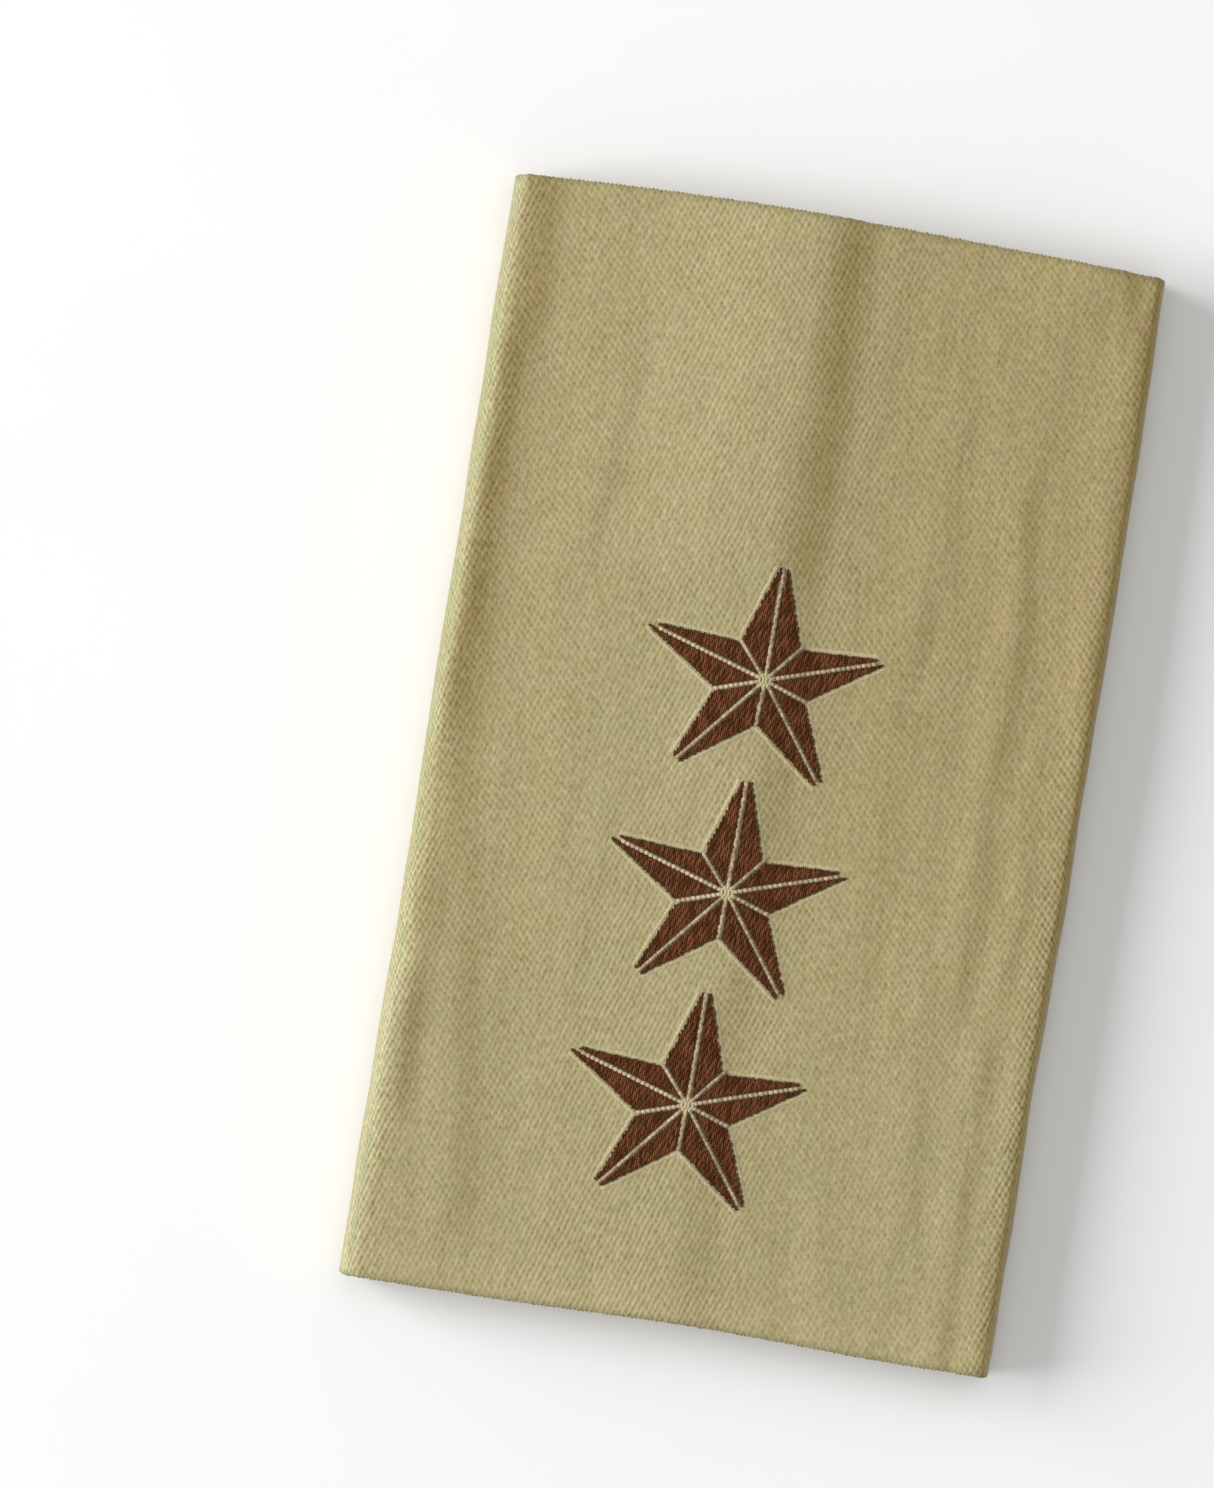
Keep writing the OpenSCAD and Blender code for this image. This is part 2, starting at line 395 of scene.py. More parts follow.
def make_sleeve(material):
    """Lays the strip out flat with its weave's coordinates, then folds it round. Returns its
    columns' places along the stretches and the cloth's length up to each."""
    stations = fold_stations()
    lengths = strip_lengths(stations)
    strip = bmesh.new()
    bmesh.ops.create_grid(strip, x_segments=len(stations) - 1, y_segments=LENGTH_STEPS, size=1)
    strip.verts.index_update()
    weave = strip.loops.layers.uv.new("weave")
    columns = {}
    for vert in strip.verts:
        column = round((vert.co.x + 1) / 2 * (len(stations) - 1))
        share = (1 - vert.co.y) / 2
        columns[vert] = (column, share)
    for face in strip.faces:
        for loop in face.loops:
            column, share = columns[loop.vert]
            loop[weave].uv = (lengths[column] * MM, -share * SLEEVE_L * MM)
    sections = {}
    for vert, (column, share) in columns.items():
        stretches = sections.setdefault(round(share, 6), section(half_width(share)))
        vert.co = cloth_place(stretches, stations[column], share)
    bmesh.ops.recalc_face_normals(strip, faces=strip.faces)
    # The lap's outer layer is pressed next to its cut edge, the inner one all over
    outer_end = STRETCH_STEPS[0] * LAP_W / MEAN_W
    inner_start = len(stations) - 1 - STRETCH_STEPS[-1]
    pressed = [vert.index for vert, (column, share) in columns.items()
               if column < outer_end or column > inner_start]
    piece = new_piece("sleeve_cloth", strip, material)
    if piece.data.polygons[0].normal.z > 0:
        piece.data.flip_normals()
    mark_lean_for_painted_light(piece.data)
    give_thickness(piece, pressed)
    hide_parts("sleeve")
    return stations, lengths


def ball(across, along):
    """A round body one unit wide with its poles along Y, as a mesh to lay copies of."""
    body = bmesh.new()
    turned = Matrix.Rotation(math.pi / 2, 4, "X")
    bmesh.ops.create_uvsphere(body, u_segments=across, v_segments=along, radius=0.5, matrix=turned)
    mesh = bpy.data.meshes.new("ball")
    body.to_mesh(mesh)
    body.free()
    return mesh


def lay_copy(target, shape, matrix, shade):
    """A copy of a shape, put in place and given one tone. Returns its vertices."""
    count = len(target.verts)
    target.from_mesh(shape)
    target.verts.ensure_lookup_table()
    made = target.verts[count:]
    tone = target.verts.layers.float["tone"]
    for vert in made:
        vert.co = matrix @ vert.co
        vert[tone] = shade
    return made


def yarn_mesh():
    """An empty mesh whose vertices can hold a tone and a painted edge shade."""
    mesh = bmesh.new()
    mesh.verts.layers.float.new("tone")
    mesh.verts.layers.float.new("dark")
    return mesh


def end_yarns(material, stations, lengths, chance):
    """The cut ends of the lengthways yarns, a row of short stubs along each open end."""
    stubs = yarn_mesh()
    stub = ball(6, 4)
    apart = 2 * PITCH
    count = int(lengths[-1] / apart)
    for share, out in ((0.0, 1), (1.0, -1)):
        stretches = section(half_width(share))
        column = 0
        for number in range(count):
            length = (number + 0.5) * apart
            while lengths[column + 1] < length:
                column += 1
            first = cloth_place(stretches, stations[column], share)
            second = cloth_place(stretches, stations[column + 1], share)
            step = (second - first).normalized()
            inward = Vector((step.z, 0, -step.x))
            part = (length - lengths[column]) / (lengths[column + 1] - lengths[column])
            in_lap = min(number, count - 1 - number) * apart < LAP_W
            depth = CLOTH_T * (LAP_PRESSED if in_lap else 1)
            middle = first.lerp(second, part) + inward * (depth / 2)
            middle += Vector((0, out * chance.uniform(-0.06, 0.02), 0))
            turn = Matrix((step, (0, 1, 0), inward)).transposed().to_4x4()
            size = Matrix.Diagonal((apart * 1.1, STUB_L, depth * 0.95, 1))
            for vert in lay_copy(stubs, stub, Matrix.Translation(middle) @ turn @ size, chance.random()):
                vert.co.z = max(vert.co.z, 0)
    bmesh.ops.recalc_face_normals(stubs, faces=stubs.faces)
    new_piece("end_yarns", stubs, material)


def seam_stitches(material, chance):
    """Two rows of stitches down the back that hold the lap, each stitch's ends tucked into it."""
    thread = yarn_mesh()
    stitch = ball(8, 8)
    apart = STITCH_L + STITCH_GAP
    count = int((SLEEVE_L - 2 * SEAM_END) / apart)
    for x in (-SEAM_X, SEAM_X):
        for number in range(count):
            y = (number - (count - 1) / 2) * apart
            place = Matrix.Translation((x + chance.uniform(-0.05, 0.05), y, STITCH_W / 2))
            askew = Matrix.Rotation(chance.uniform(-0.03, 0.03), 4, "Z")
            size = Matrix.Diagonal((STITCH_W, STITCH_L, STITCH_W, 1))
            for vert in lay_copy(thread, stitch, place @ askew @ size, chance.random()):
                vert.co.z += STITCH_TUCK * (2 * (vert.co.y - y) / STITCH_L) ** 4
    bmesh.ops.recalc_face_normals(thread, faces=thread.faces)
    new_piece("seam_stitches", thread, material)


# Woven floats and yarns


def float_shape(blunt):
    """One float of yarn: a round body whose ends are blunt."""
    mesh = ball(6, 6)
    for vert in mesh.vertices:
        vert.co.y = math.copysign(0.5 * abs(2 * vert.co.y) ** blunt, vert.co.y)
    return mesh


class Yarns:
    """Collects floats of yarn that follow the front of the sleeve, with a tone for each."""

    def __init__(self, blunt=0.8):
        self.mesh = yarn_mesh()
        self.shape = float_shape(blunt)
        self.dark = self.mesh.verts.layers.float["dark"]

    def lay(self, middle, direction, size, lift, tone, dark=None):
        """One float: its middle and direction in the plane, its width, length and height."""
        along = Vector(direction).normalized()
        width, length, height = size
        # The shape's own length, along Y, is turned to the float's direction
        turn = Matrix(((along.y, along.x, 0), (-along.x, along.y, 0), (0, 0, 1))).to_4x4()
        place = Matrix.Translation((*middle, lift + FLOAT_MIDDLE * height))
        scaled = Matrix.Diagonal((width, length, height, 1))
        for vert in lay_copy(self.mesh, self.shape, place @ turn @ scaled, tone):
            vert.co.z += front_level(vert.co.x, vert.co.y)
            # Painted shade near a facet's sides, where a shade is given
            vert[self.dark] = dark(vert.co.xy) if dark else 0.0


def cross_2d(a, b):
    return a[0] * b[1] - a[1] * b[0]


def meeting(a, along_a, b, along_b):
    """Where two lines in the plane meet."""
    t = cross_2d(b - a, along_b) / cross_2d(along_a, along_b)
    return a + along_a * t


def facet_corners(point, notch, longer):
    """Corners of the facet between an arm's middle line and a notch's line: near the centre, at
    the notch, and the outer and inner corner of the prong, which may reach further."""
    ridge, valley = Vector(point).normalized(), Vector(notch).normalized()
    turn = math.copysign(1, cross_2d(ridge, valley))
    off_ridge = Vector((-ridge.y, ridge.x)) * turn
    off_valley = Vector((valley.y, -valley.x)) * turn
    start_ridge, start_valley = off_ridge * LINE_W / 2, off_valley * LINE_W / 2
    return [
        meeting(start_ridge, ridge, start_valley, valley),
        Vector(notch) + start_valley,
        Vector(point) + ridge * longer + off_ridge * (LINE_W / 2 + PRONG_W - PRONG_TAPER * longer),
        Vector(point) + ridge * longer + start_ridge * (1 - longer),
    ]


def edge_distance(place, corners):
    """Distance from a place inside a facet to the facet's nearest side."""
    nearest = math.inf
    for index, corner in enumerate(corners):
        side = corners[(index + 1) % len(corners)] - corner
        offset = place - corner
        t = clamp(offset.dot(side) / side.dot(side))
        nearest = min(nearest, (offset - side * t).length)
    return nearest


def column_span(corners, x):
    """The stretch of a facet that an upright line at x crosses, or nothing."""
    crossed = []
    for index, a in enumerate(corners):
        b = corners[(index + 1) % len(corners)]
        if (a.x - x) * (b.x - x) < 0:
            crossed.append(mix(a.y, b.y, (x - a.x) / (b.x - a.x)))
    return (min(crossed), max(crossed)) if len(crossed) >= 2 else None


def tie_places(column, low, high):
    """Where a column's floats are tied down between its lower and its upper end, ends included."""
    tie = PITCH * (STAR_STEP * column + 0.5)
    places = [low]
    number = math.ceil((low - tie) / (STAR_REPEAT * PITCH))
    while tie + number * STAR_REPEAT * PITCH < high:
        place = tie + number * STAR_REPEAT * PITCH
        if place - places[-1] > SHORTEST_FLOAT and high - place > SHORTEST_FLOAT:
            places.append(place)
        number += 1
    places.append(high)
    return places


def weave_facet(yarns, corners, chance):
    """Upright floats over a facet, tied down once in every five threads, in satin order."""

    def edge_shade(place):
        return clamp(1.1 - edge_distance(place, corners) / SHADED_W)

    edge = (corners[2] - corners[1]).normalized()
    outward = Vector((-edge.y, edge.x))
    if outward.dot(corners[1] - corners[0]) < 0:
        outward = -outward
    first = math.floor(min(corner.x for corner in corners) / PITCH)
    last = math.ceil(max(corner.x for corner in corners) / PITCH)
    for column in range(first, last + 1):
        x = (column + 0.5) * PITCH
        frayed = outward * chance.uniform(-0.05, 0.07)
        span = column_span([corners[0], corners[1] + frayed, corners[2] + frayed, corners[3]], x)
        if not span:
            continue
        ties = tie_places(column, *span)
        for start, end in zip(ties, ties[1:]):
            length = end - start
            if length < SHORTEST_SPAN:
                continue
            middle = (x + chance.uniform(-0.03, 0.03), (start + end) / 2)
            size = (FLOAT_W, length * 1.04, FLOAT_H * chance.uniform(0.85, 1.1))
            yarns.lay(middle, FLOAT_WAY, size, FACET_LIFT, chance.random(), edge_shade)


def lay_ground(mesh, corners):
    """A thin ground of brown yarn under a facet's floats, cut at each millimetre to follow the folds."""
    ground = bmesh.new()
    base = [ground.verts.new((corner.x, corner.y, 0)) for corner in corners]
    face = ground.faces.new(base)
    grown = bmesh.ops.extrude_face_region(ground, geom=[face])
    for item in grown["geom"]:
        if isinstance(item, bmesh.types.BMVert):
            item.co.z = FACET_LIFT
    for axis in (Vector((1, 0, 0)), Vector((0, 1, 0))):
        reach = [corner.to_3d().dot(axis) for corner in corners]
        for step in range(math.ceil(min(reach)), math.ceil(max(reach))):
            geometry = ground.verts[:] + ground.edges[:] + ground.faces[:]
            bmesh.ops.bisect_plane(ground, geom=geometry, dist=1e-5, plane_co=axis * step, plane_no=axis)
    bmesh.ops.recalc_face_normals(ground, faces=ground.faces)
    part = bpy.data.meshes.new("ground")
    ground.to_mesh(part)
    ground.free()
    dark = mesh.verts.layers.float["dark"]
    # The ground takes a low tone and painted shade, as it lies under the floats
    for vert in lay_copy(mesh, part, Matrix.Identity(4), GROUND_TONE):
        vert.co.z += front_level(vert.co.x, vert.co.y)
        vert[dark] = GROUND_PAINTED_SHADE
    bpy.data.meshes.remove(part)


def shrunk(corners, by):
    """The same facet drawn in by a distance on every side."""
    result = []
    turn = math.copysign(1, cross_2d(corners[1] - corners[0], corners[2] - corners[1]))
    count = len(corners)
    for index, corner in enumerate(corners):
        before = (corner - corners[index - 1]).normalized()
        after = (corners[(index + 1) % count] - corner).normalized()
        first = corner + Vector((-before.y, before.x)) * turn * by
        second = corner + Vector((-after.y, after.x)) * turn * by
        nearly_straight = abs(cross_2d(before, after)) < 0.05
        result.append(first if nearly_straight else meeting(first, before, second, after))
    return result


def lay_rim(rim, notch, tip, centre, chance):
    """Pale ground yarns along one side of a star, from a notch to a prong."""
    along = tip - notch
    length = along.length
    along.normalize()
    outward = Vector((-along.y, along.x))
    if outward.dot((notch + tip) / 2 - centre) < 0:
        outward = -outward
    at = FIRST_RIM_YARN
    while at < length:
        middle = notch + along * at + outward * (RIM_OUT + chance.uniform(-0.04, 0.04))
        size = (RIM_W * chance.uniform(1.15, 1.45), RIM_STEP * 1.9, RIM_H)
        rim.lay(middle, along + outward * chance.uniform(-0.1, 0.1), size, -RIM_SUNK, chance.random())
        at += RIM_STEP


def lay_line(lines, centre, end, chance):
    """A chain of short pale floats out from the star's centre, paler to the left. In an upright
    line they lean to either side in turn, and in a shallow one they stand apart like beads."""
    length = end.length
    along = end / length
    side = Vector((-along.y, along.x))
    # One for a line that stands upright, one for a shallow one, and nought for the others
    upright = ramp((abs(along.y) - 0.93) / 0.06)
    shallow = ramp((abs(along.x) - 0.85) / 0.1)
    at = FIRST_BEAD
    turn = 1
    while at < length:
        middle = centre + along * at + side * chance.uniform(-0.012, 0.012)
        lean = 0.34 * turn * upright - 0.2 * shallow * math.copysign(1, along.x * along.y)
        width = LINE_W * (1 + 0.1 * max(shallow, upright))
        size = (width, BEAD_L * mix(1.25, 1.0, shallow), mix(0.17, 0.2, shallow))
        tone = 0.15 - 0.1 * along.x + 0.24 * shallow + 0.5 * chance.random()
        lines.lay(middle, along + side * lean, size, FACET_LIFT, tone)
        at += BEAD_L
        turn = -turn


def lay_knot(rim, centre, chance):
    """The small pale round in the middle of a star."""
    for count, first, radius, size in KNOT_RINGS:
        for number in range(count):
            angle = 2 * math.pi / count * number + first
            middle = centre + Vector((math.cos(angle), math.sin(angle))) * radius
            rim.lay(middle, KNOT_WAY, size, FACET_LIFT, chance.random())


def make_star(name, centre, brown, pale, border, chance):
    """One woven star: floats over a thin ground, facet by facet, its rim, pale lines and knot."""
    centre = Vector(centre)
    floats = Yarns()
    lines = Yarns(blunt=0.7)
    rim = Yarns(blunt=0.7)
    for index, point in enumerate(POINTS):
        for side in (index, (index - 1) % 5):
            longer = LONG_PRONGS.get((index, side), 0)
            corners = [corner + centre for corner in facet_corners(point, NOTCHES[side], longer)]
            lay_ground(floats.mesh, shrunk(corners, GROUND_INSET))
            weave_facet(floats, corners, chance)
            lay_rim(rim, corners[1], corners[2], centre, chance)
    for point in POINTS:
        lay_line(lines, centre, Vector(point) * POINT_REACH, chance)
    for notch in NOTCHES:
        lay_line(lines, centre, Vector(notch) * NOTCH_REACH, chance)
    lay_knot(rim, centre, chance)
    star = new_piece(name + "_floats", floats.mesh, brown)
    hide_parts(name)
    new_piece(name + "_lines", lines.mesh, pale)
    new_piece(name + "_rim", rim.mesh, border)


# Finishes


class Graph:
    """A short way to add nodes to a material or a group and to join them."""

    def __init__(self, tree):
        self.tree = tree

    def add(self, kind, inputs=(), **settings):
        """A node with its settings, each input joined to a socket or given a value."""
        node = self.tree.nodes.new("ShaderNode" + kind)
        for name, value in settings.items():
            setattr(node, name, value)
        for name, value in dict(inputs).items():
            socket = node.inputs[name]
            if isinstance(value, bpy.types.NodeSocket):
                self.tree.links.new(value, socket)
            else:
                socket.default_value = value
        return node

    def math(self, operation, *values):
        return self.add("Math", enumerate(values), operation=operation).outputs[0]

    def product(self, first, *others):
        """Several values multiplied together."""
        for other in others:
            first = self.math("MULTIPLY", first, other)
        return first

    def between(self, value, low, high, to_low=0.0, to_high=1.0):
        """A smooth step of a value from one pair of limits to another."""
        given = {"Value": value, "From Min": low, "From Max": high, "To Min": to_low, "To Max": to_high}
        return self.add("MapRange", given, interpolation_type="SMOOTHSTEP").outputs[0]

    def blend(self, share, first, second, mode="MIX"):
        given = {0: share, 6: first, 7: second}
        return self.add("Mix", given, data_type="RGBA", blend_type=mode).outputs[2]

    def tinted(self, share, body, tint):
        """A colour multiplied by a tint, as far as a share says."""
        return self.blend(share, body, self.blend(1.0, body, tint, "MULTIPLY"))

    def vector(self, operation, first, second):
        return self.add("VectorMath", {0: first, 1: second}, operation=operation).outputs[0]

    def scaled(self, vector, scale):
        """A vector multiplied by another, axis by axis."""
        return self.vector("MULTIPLY", vector, scale)

    def enlarged(self, vector, times):
        """A vector multiplied by a number."""
        return self.add("VectorMath", {0: vector, "Scale": times}, operation="SCALE").outputs[0]

    def noise(self, vector, scale, detail=2.0, rough=0.5):
        given = {"Vector": vector, "Scale": scale, "Detail": detail, "Roughness": rough}
        return self.add("TexNoise", given).outputs[0]

    def ripple(self, vector, scale, detail, rough):
        """Noise about nought."""
        return self.math("SUBTRACT", self.noise(vector, scale, detail, rough), 0.5)


def linear(red, green, blue):
    """A colour as seen on a screen, out of 255, made linear for a shader."""

    def channel(value):
        value /= 255
        return value / 12.92 if value <= 0.04045 else ((value + 0.055) / 1.055) ** 2.4

    return (channel(red), channel(green), channel(blue), 1.0)


def new_group(name, inputs, outputs):
    """A node group that is still empty, with these inputs and with a number for each output."""
    tree = bpy.data.node_groups.new(name, "ShaderNodeTree")
    for label, kind, value in inputs:
        socket = tree.interface.new_socket(label, in_out="INPUT", socket_type="NodeSocket" + kind)
        if value is not None:
            socket.default_value = value
    for label in outputs:
        tree.interface.new_socket(label, in_out="OUTPUT", socket_type="NodeSocketFloat")
    source = tree.nodes.new("NodeGroupInput")
    result = tree.nodes.new("NodeGroupOutput")
    return Graph(tree), source.outputs, result.inputs


def satin_group():
    """The satin's floats: their height, where they are tied down, their ribs and a tone for each."""
    graph, given, result = new_group(
        "satin_weave",
        [("Cloth", "Vector", None), ("Pitch", "Float", PITCH * MM), ("Unevenness", "Float", 0.3)],
        ["Height", "Tie", "Steep Rib", "Slant Rib", "Tone"],
    )
    # The cloth's place counted in threads, which sway a little
    threads = graph.enlarged(given["Cloth"], graph.math("DIVIDE", 1.0, given["Pitch"]))
    drift = graph.add("TexNoise", {"Vector": threads, "Scale": 0.06, "Detail": 2.0}).outputs[1]
    centred = graph.vector("SUBTRACT", drift, (0.5, 0.5, 0.5))
    swayed = graph.scaled(graph.enlarged(centred, given["Unevenness"]), (8.0, 8.0, 0.0))
    uneven = graph.add("SeparateXYZ", {0: graph.vector("ADD", threads, swayed)}).outputs
    warp, weft = uneven[0], uneven[1]
    column = graph.math("FLOOR", warp)
    across = graph.math("FRACT", warp)
    # How far a place is from the nearest tie of its own thread
    shifted = graph.math("SUBTRACT", weft, graph.math("MULTIPLY", column, float(STEP)))
    turns = graph.math("DIVIDE", graph.math("SUBTRACT", shifted, 0.5), float(REPEAT))
    phase = graph.math("FRACT", turns)
    from_tie = graph.math("SUBTRACT", 0.5, graph.math("ABSOLUTE", graph.math("SUBTRACT", phase, 0.5)))
    from_tie = graph.math("MULTIPLY", from_tie, float(REPEAT))
    # A thread is round across and goes down at its ties
    over = graph.between(from_tie, 0.2, 1.7)
    middle = graph.math("SUBTRACT", graph.math("MULTIPLY", across, 2.0), 1.0)
    crown = graph.math("SUBTRACT", 1.0, graph.math("MULTIPLY", middle, middle))
    height = graph.math("MULTIPLY", graph.math("ADD", graph.math("MULTIPLY", crown, 0.45), 0.55), over)
    tie = graph.math("SUBTRACT", 1.0, graph.between(from_tie, 0.35, 1.25))
    # The ties line up in ribs, steep ones and slanting ones
    steep = graph.math("SUBTRACT", graph.math("MULTIPLY", warp, float(STEP)), weft)
    steep_rib = graph.math("COSINE", graph.math("MULTIPLY", steep, 2 * math.pi / REPEAT))
    slant = graph.math("ADD", warp, weft)
    slant_rib = graph.math("COSINE", graph.math("MULTIPLY", slant, 4 * math.pi / REPEAT))
    label = graph.add("CombineXYZ", {0: column, 1: graph.math("FLOOR", turns)}).outputs[0]
    tone = graph.add("TexWhiteNoise", {"Vector": label}).outputs[0]
    made = {
        "Height": height,
        "Tie": tie,
        "Steep Rib": graph.math("MULTIPLY", steep_rib, -1.0),
        "Slant Rib": graph.math("MULTIPLY", slant_rib, -1.0),
        "Tone": tone,
    }
    for name, value in made.items():
        graph.tree.links.new(value, result[name])
    return graph.tree


def new_material(name, colour):
    material = bpy.data.materials.new(name)
    material.use_nodes = True
    material.diffuse_color = colour
    shader = material.node_tree.nodes["Principled BSDF"]
    return material, Graph(material.node_tree), shader


def rib_lattice(graph, weave, cloth, x, y, pulled):
    """The weave's steep and slanting ribs laid over each other, each as strong as it shows."""
    patches = graph.noise(graph.scaled(cloth, (260.0, 120.0, 0.0)), 1.0, 3.0, 0.6)
    other_patches = graph.noise(graph.scaled(cloth, (180.0, 220.0, 0.0)), 1.0, 3.0, 0.6)
    # The steep ribs stand out down the middle and along the left fold, and fade to the right
    steep_share = graph.product(
        graph.between(x, -0.018, -0.008, 0.44, 0.82),
        graph.between(y, 0.01, -0.045, 1.0, 1.3),
        graph.between(x, 0.003, 0.01, 1.0, 0.3),
        graph.between(patches, 0.3, 0.7, 0.7, 1.3),
        graph.math("MULTIPLY_ADD", pulled, 1.7, 1.0),
        graph.between(x, -0.0262, -0.028, 1.0, 1.9),
    )
    # The slanting ribs fade downwards, and in a band left of the middle that ends short of the top
    left_band = graph.product(
        graph.between(x, -0.0185, -0.0135),
        graph.between(x, 0.001, -0.0035),
        graph.between(y, 0.045, 0.037),
    )
    slant_share = graph.product(
        graph.between(y, -0.047, -0.015, 0.36, 0.67),
        graph.between(left_band, 0.0, 1.0, 1.0, 0.68),
        graph.between(other_patches, 0.3, 0.7, 0.65, 1.35),
        graph.math("MULTIPLY_ADD", pulled, 0.8, 1.0),
    )
    steep = graph.math("MULTIPLY", weave["Steep Rib"], steep_share)
    slant = graph.math("MULTIPLY", weave["Slant Rib"], slant_share)
    return graph.math("ADD", steep, slant)


def cloth_shade(graph, weave, cloth, x, pulled, lattice):
    """A grey to multiply the cloth's colour by: its ribs, painted shade where its threads dip and where
    they are tied down, and their unevenness.
    """
    parts = [
        (lattice, 0.125),
        # Painted shade: darker where a thread dips, and where it is tied down
        (graph.math("SUBTRACT", weave["Height"], 0.6), 0.07),
        (graph.math("SUBTRACT", weave["Tone"], 0.5), 0.10),
        (weave["Tie"], -0.07),
        (graph.ripple(graph.scaled(cloth, (800.0, 90.0, 0.0)), 1.0, 3.0, 0.6), 0.10),
        (graph.ripple(graph.scaled(cloth, (2300.0, 1500.0, 0.0)), 1.0, 2.0, 0.6), 0.85),
        (graph.ripple(cloth, 330.0, 2.0, 0.5), 0.16),
    ]
    shade = 1.0
    for part, depth in parts:
        shade = graph.math("MULTIPLY_ADD", part, depth, shade)
    # All of it is stronger along both sides
    stronger = graph.between(x, -0.0255, -0.0275, 1.0, 1.2)
    stronger = graph.math("MULTIPLY_ADD", pulled, 0.25, stronger)
    change = graph.math("MULTIPLY", graph.math("SUBTRACT", shade, 1.0), stronger)
    # Between the threads the cloth is not only darker, with painted shade, but yellower
    red = graph.math("MULTIPLY_ADD", change, 0.93, 1.0)
    green = graph.math("ADD", change, 1.0)
    blue = graph.math("MULTIPLY_ADD", change, 1.42, 1.0)
    return graph.add("CombineColor", {0: red, 1: green, 2: blue}).outputs[0]


def cloth_colour(graph, cloth, x, y):
    """The cloth's khaki, a little greener here and browner there, with painted light and shade over it:
    on the right half, where it faces left or right, and along its lower edge.
    """
    redder = graph.between(graph.noise(cloth, 260.0, 3.0, 0.6), 0.3, 0.7)
    body = graph.blend(redder, linear(165.8, 155.7, 109.8), linear(169.8, 155.3, 114.6))
    right = graph.product(graph.between(x, -0.002, 0.008), graph.between(y, -0.03, 0.01, 0.1, 1.0))
    middle = graph.product(
        graph.between(x, -0.023, -0.01),
        graph.between(x, 0.012, 0.002),
        graph.between(y, 0.04, 0.015, 0.6, 1.0),
    )
    lower = graph.between(y, -0.006, -0.035)
    lean = graph.add("Attribute", attribute_name="lean").outputs["Fac"]
    # A painted highlight on the roll's outermost, most left-facing line, lower down
    painted_roll_highlight = graph.product(graph.between(lean, -0.7, -0.9), graph.between(y, 0.01, -0.04))
    tints = [
        # The right half is darker and browner, less so towards the lower end: partly painted shade,
        # partly a browner tone
        (right, (0.94, 0.91, 0.876)),
        # The cloth is a little bluer about its middle and towards the lower end
        (graph.math("MAXIMUM", middle, lower), (0.99, 1.0, 1.055)),
        # The left-facing side of the roll, lit by the key light, is painted greener and a little darker
        # to tone down its light, and its outermost line gets a painted highlight lower down
        (graph.between(lean, -0.15, -0.7), (0.87, 0.965, 1.05)),
        (painted_roll_highlight, (1.2, 1.16, 1.14)),
        # What faces right, away from the key light, is painted browner and darker: painted shade
        (graph.between(lean, 0.02, 0.45), (1.03, 0.955, 0.75)),
        (graph.between(lean, 0.4, 0.8), (0.9, 0.87, 0.79)),
        # A painted highlight along the lower edge
        (graph.between(y, -0.0455, -0.049), (1.06, 1.06, 1.06)),
    ]
    for share, tint in tints:
        body = graph.tinted(share, body, (*tint, 1))
    return body


def cloth_material(satin):
    """Pale khaki satin, with the ribs of its weave crossing in a lattice. Places are in metres."""
    material, graph, shader = new_material("khaki_satin", linear(160, 147, 104))
    cloth = graph.add("UVMap", uv_map="weave").outputs[0]
    weave = graph.add("Group", {"Cloth": cloth}, node_tree=satin).outputs
    place = graph.add("SeparateXYZ", {0: graph.add("TexCoord").outputs["Object"]}).outputs
    x, y = place[0], place[1]
    # The cloth is pulled tight round the right side, most of all lower down
    pulled = graph.product(graph.between(y, 0.03, -0.04, 0.4, 1.3), graph.between(x, 0.0262, 0.0286))
    lattice = rib_lattice(graph, weave, cloth, x, y, pulled)
    shade = cloth_shade(graph, weave, cloth, x, pulled, lattice)
    body = graph.blend(1.0, cloth_colour(graph, cloth, x, y), shade, "MULTIPLY")
    graph.tree.links.new(body, shader.inputs["Base Color"])
    relief = graph.math("MULTIPLY_ADD", lattice, 0.35, graph.math("MULTIPLY", weave["Height"], 0.5))
    normal = graph.add("Bump", {"Strength": 0.3, "Distance": 0.04 * MM, "Height": relief})
    graph.tree.links.new(normal.outputs[0], shader.inputs["Normal"])
    shader.inputs["Roughness"].default_value = 0.85
    shader.inputs["Specular IOR Level"].default_value = 0.2
    shader.inputs["Sheen Weight"].default_value = 0.2
    shader.inputs["Sheen Roughness"].default_value = 0.35
    return material


def yarn_material(name, dark, light, edge=None, sheen=0.0):
    """Yarn whose floats differ in tone, with its fibres as fine lines down the slide, and, where an edge
    colour is given, painted shade towards a star's lines and sides and on the ground under the floats."""
    material, graph, shader = new_material(name, light)
    place = graph.add("TexCoord").outputs["Object"]
    tone = graph.add("Attribute", attribute_name="tone").outputs["Fac"]
    fibres = graph.noise(graph.scaled(place, (9000.0, 2600.0, 2600.0)), 1.0, 2.0, 0.6)
    mixed = graph.math("ADD", graph.math("MULTIPLY", tone, 0.6), graph.math("MULTIPLY", fibres, 0.5))
    body = graph.blend(graph.between(mixed, 0.15, 0.95), dark, light)
    if edge:
        # Painted shade towards a star's lines and sides, and on the ground under the floats
        painted_edge_shade = graph.add("Attribute", attribute_name="dark").outputs["Fac"]
        body = graph.blend(graph.math("MULTIPLY", painted_edge_shade, 0.62), body, edge)
    graph.tree.links.new(body, shader.inputs["Base Color"])
    relief = graph.add("Bump", {"Strength": 0.4, "Distance": 0.03 * MM, "Height": fibres})
    graph.tree.links.new(relief.outputs[0], shader.inputs["Normal"])
    shader.inputs["Roughness"].default_value = 0.75
    shader.inputs["Specular IOR Level"].default_value = 0.12
    shader.inputs["Sheen Weight"].default_value = sheen
    return material


# Camera, floor and light


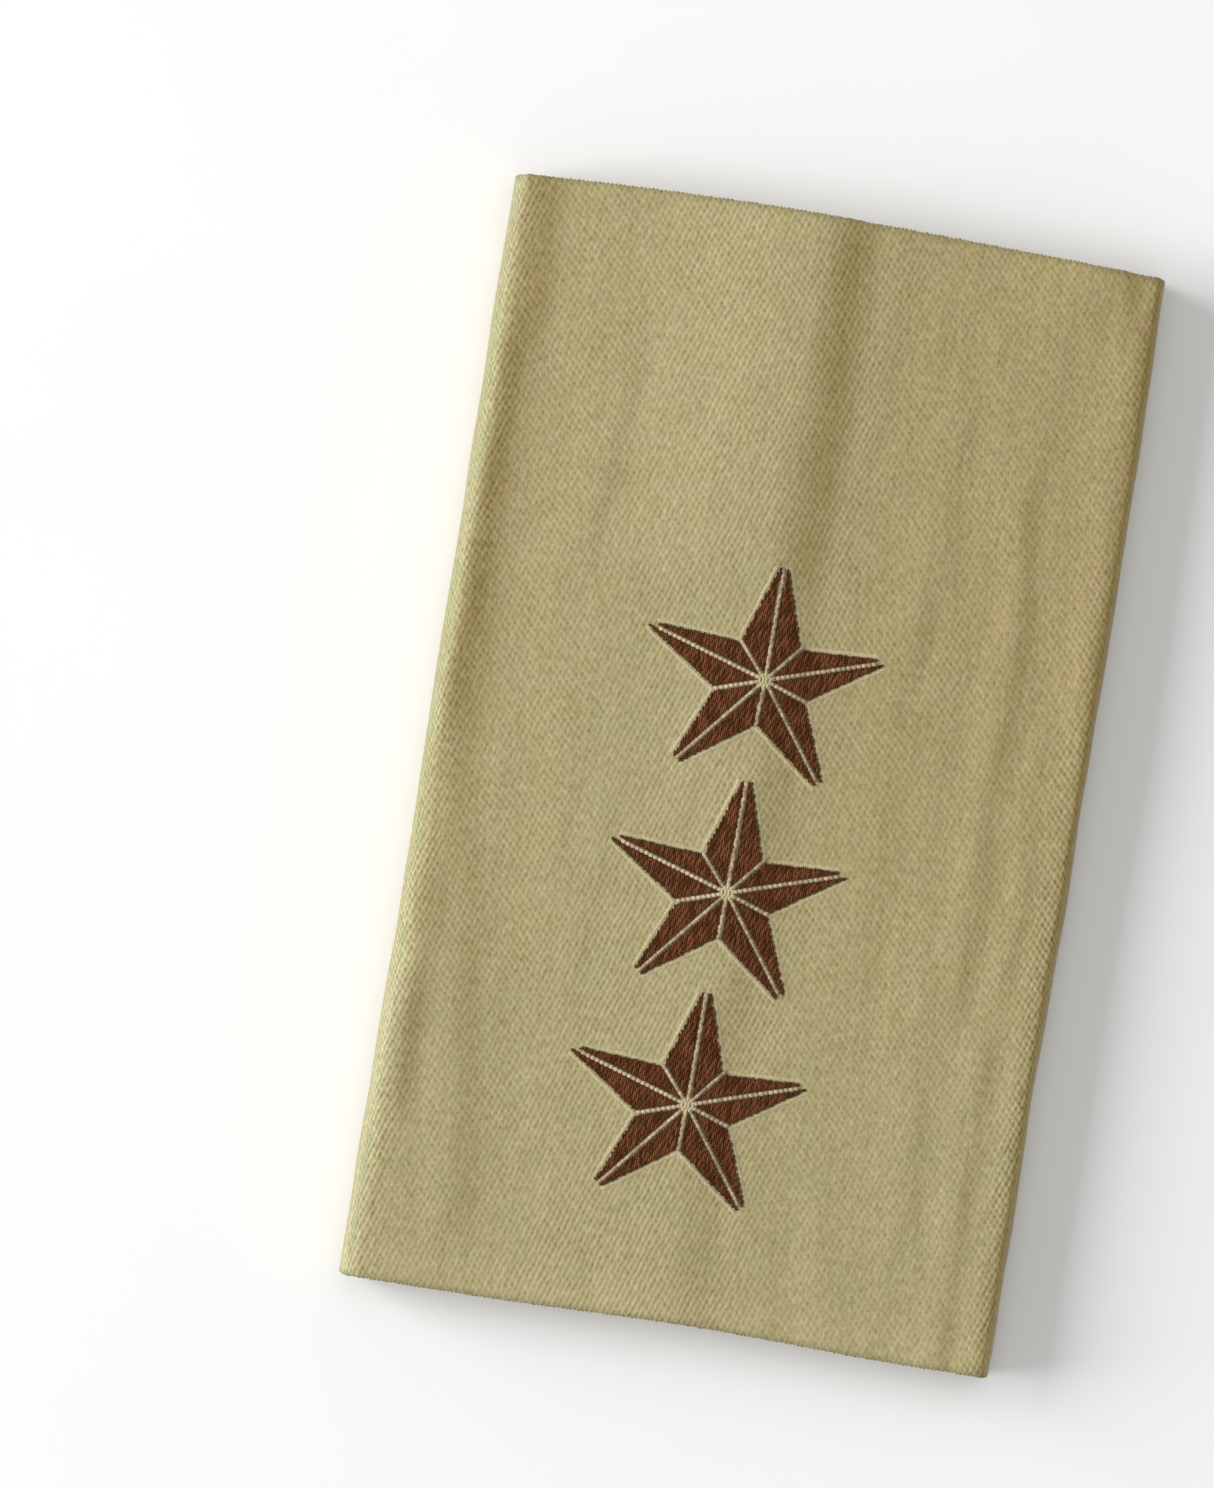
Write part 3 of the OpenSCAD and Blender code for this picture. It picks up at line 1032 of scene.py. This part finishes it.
def make_camera():
    """Straight above the slide, turned so that the slide leans in the frame as it is seen."""
    right = (PHOTO_W / 2 - CORNERS_MIDDLE_PX[0]) / PIXELS_PER_MM
    up = (CORNERS_MIDDLE_PX[1] - PHOTO_H / 2) / PIXELS_PER_MM
    cos, sin = math.cos(TURN_IN_VIEW), math.sin(TURN_IN_VIEW)
    corners_y = -UPPER_ARCH / 2
    data = bpy.data.cameras.new("view")
    camera = bpy.data.objects.new("view", data)
    bpy.context.scene.collection.objects.link(camera)
    place = (right * cos - up * sin, right * sin + up * cos + corners_y, CAMERA_HEIGHT)
    camera.location = Vector(place) * MM
    camera.rotation_euler = (0, 0, TURN_IN_VIEW)
    data.sensor_width = SENSOR
    data.lens = SENSOR * (CAMERA_HEIGHT - 2 * HALF_H) / (PHOTO_H / PIXELS_PER_MM)
    data.clip_start, data.clip_end = 0.01, 20
    bpy.context.scene.camera = camera


def make_floor():
    """A pale matt floor, just clear of the sleeve's back."""
    material, graph, shader = new_material("pale_floor", (0.9, 0.9, 0.9, 1))
    place = graph.add("TexCoord").outputs["Object"]
    grain = graph.noise(place, 40.0, 3.0)
    body = graph.blend(grain, (0.87, 0.87, 0.865, 1), (0.9, 0.9, 0.895, 1))
    graph.tree.links.new(body, shader.inputs["Base Color"])
    shader.inputs["Roughness"].default_value = 0.9
    mesh_maker = bmesh.new()
    bmesh.ops.create_grid(mesh_maker, x_segments=1, y_segments=1, size=FLOOR_HALF_M)
    mesh = bpy.data.meshes.new("floor")
    mesh_maker.to_mesh(mesh)
    mesh_maker.free()
    mesh.transform(Matrix.Translation((0, 0, -FLOOR_GAP * MM)))
    mesh.materials.append(material)
    floor = bpy.data.objects.new("floor", mesh)
    bpy.context.scene.collection.objects.link(floor)


def make_light(name, direction, distance, size, power):
    """A soft square light that shines at the slide from a direction in the view's own frame:
    to the right, up and towards the camera. In metres and watts."""
    data = bpy.data.lights.new(name, "AREA")
    data.shape = "SQUARE"
    data.size = size
    data.energy = power
    light = bpy.data.objects.new(name, data)
    bpy.context.scene.collection.objects.link(light)
    place = Matrix.Rotation(TURN_IN_VIEW, 4, "Z") @ (Vector(direction).normalized() * distance)
    light.location = place
    light.rotation_euler = place.to_track_quat("Z", "Y").to_euler()


def make_lights():
    """A low key light from the left, a weak one overhead and an even white surrounding."""
    make_light("key", (-1.0, 0.2, 0.52), 1.4, 1.1, 25.5)
    make_light("overhead", (0.1, 0.1, 1.0), 1.6, 1.2, 7)
    world = bpy.data.worlds.new("studio")
    world.use_nodes = True
    background = world.node_tree.nodes["Background"]
    background.inputs["Color"].default_value = (1, 1, 1, 1)
    background.inputs["Strength"].default_value = 0.34
    bpy.context.scene.world = world
    bpy.context.scene.view_settings.view_transform = "Standard"


# The slide and its studio

make_camera()
make_floor()
make_lights()

khaki = cloth_material(satin_group())
# The brown darkens to its edge colour towards a facet's sides and on the ground under its floats:
# painted shade
brown = yarn_material("brown_yarn", linear(72, 38, 8), linear(119, 72, 43), edge=linear(50, 28, 10))
pale = yarn_material("pale_yarn", linear(132, 112, 83), linear(205, 184, 154))
border = yarn_material("border_yarn", linear(175, 164, 125), linear(188, 176, 138))
cut = yarn_material("cut_yarn", linear(140, 127, 84), linear(172, 159, 116), sheen=0.1)

stations, lengths = make_sleeve(khaki)
chance = random.Random(SEED)
end_yarns(cut, stations, lengths, chance)
seam_stitches(border, chance)
for name, centre in STARS.items():
    make_star(name, centre, brown, pale, border, chance)
